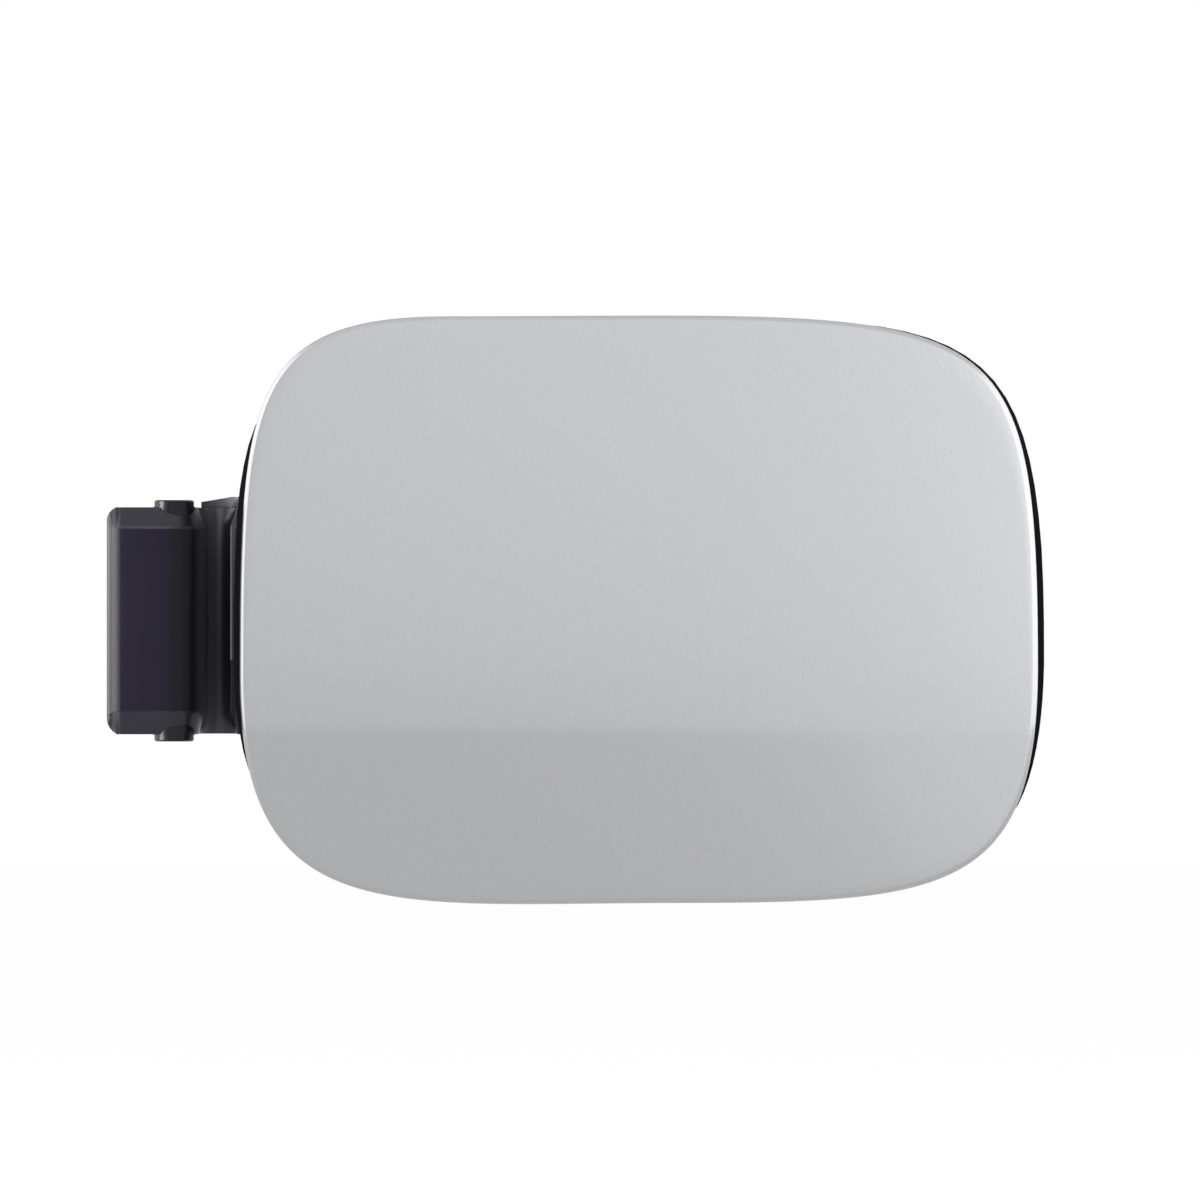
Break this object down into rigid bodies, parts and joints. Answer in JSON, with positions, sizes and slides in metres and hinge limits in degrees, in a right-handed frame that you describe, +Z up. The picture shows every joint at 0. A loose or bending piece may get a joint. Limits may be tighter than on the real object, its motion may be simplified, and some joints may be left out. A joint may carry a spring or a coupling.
{
  "type": "car fuel door",
  "caption": "Crowned silver car fuel door with a horizontal crease, on a black ribbed carrier and a gooseneck hinge arm that swings on a keyed pivot shaft.",
  "frame": {"origin": "on the hinge axis, in the plane of the lower pivot shoulder", "axes": "+X from the hinge axis across the door to its free edge, +Y from the door into the car, +Z up along the hinge axis"},
  "size_m": [0.2345, 0.0381, 0.1471],
  "materials": {
    "silver_paint": "silver metallic paint, clear coated",
    "carrier_plastic": "black moulded plastic, fine grain",
    "arm_plastic": "black moulded plastic, semi gloss",
    "shaft_plastic": "black moulded plastic, semi gloss",
    "spring_steel": "rolled spring steel",
    "plated_steel": "zinc plated",
    "stop_rubber": "moulded black rubber",
    "fitting_plastic": "black moulded plastic"
  },
  "bodies": {
    "pivot": {"pivot_shaft": "shaft_plastic"},
    "door": {"outer_skin": "silver_paint", "inner_carrier": "carrier_plastic", "hinge_arm": "arm_plastic", "detent_spring": "spring_steel", "arm_screw_1": "plated_steel", "arm_screw_2": "plated_steel", "arm_screw_3": "plated_steel", "arm_screw_4": "plated_steel", "skin_stud_1": "plated_steel", "skin_stud_2": "plated_steel", "skin_stud_3": "plated_steel", "skin_stud_4": "plated_steel", "skin_stud_5": "plated_steel", "stud_nut_1": "plated_steel", "stud_nut_2": "plated_steel", "stud_nut_3": "plated_steel", "stud_nut_4": "plated_steel", "stud_nut_5": "plated_steel", "bump_stop_upper": "stop_rubber", "bump_stop_lower": "stop_rubber", "lock_eye": "fitting_plastic", "lock_eye_screw_1": "plated_steel", "lock_eye_screw_2": "plated_steel", "cap_holder": "fitting_plastic", "cap_holder_screw_1": "plated_steel", "cap_holder_screw_2": "plated_steel"}
  },
  "joints": [
    {"name": "door_swing", "type": "hinge", "parent": "pivot", "child": "door", "pos_m": [0, 0, 0], "axis": [0, 0, -1], "range_deg": [0, 95], "deforming": ["detent_spring"]}
  ]
}
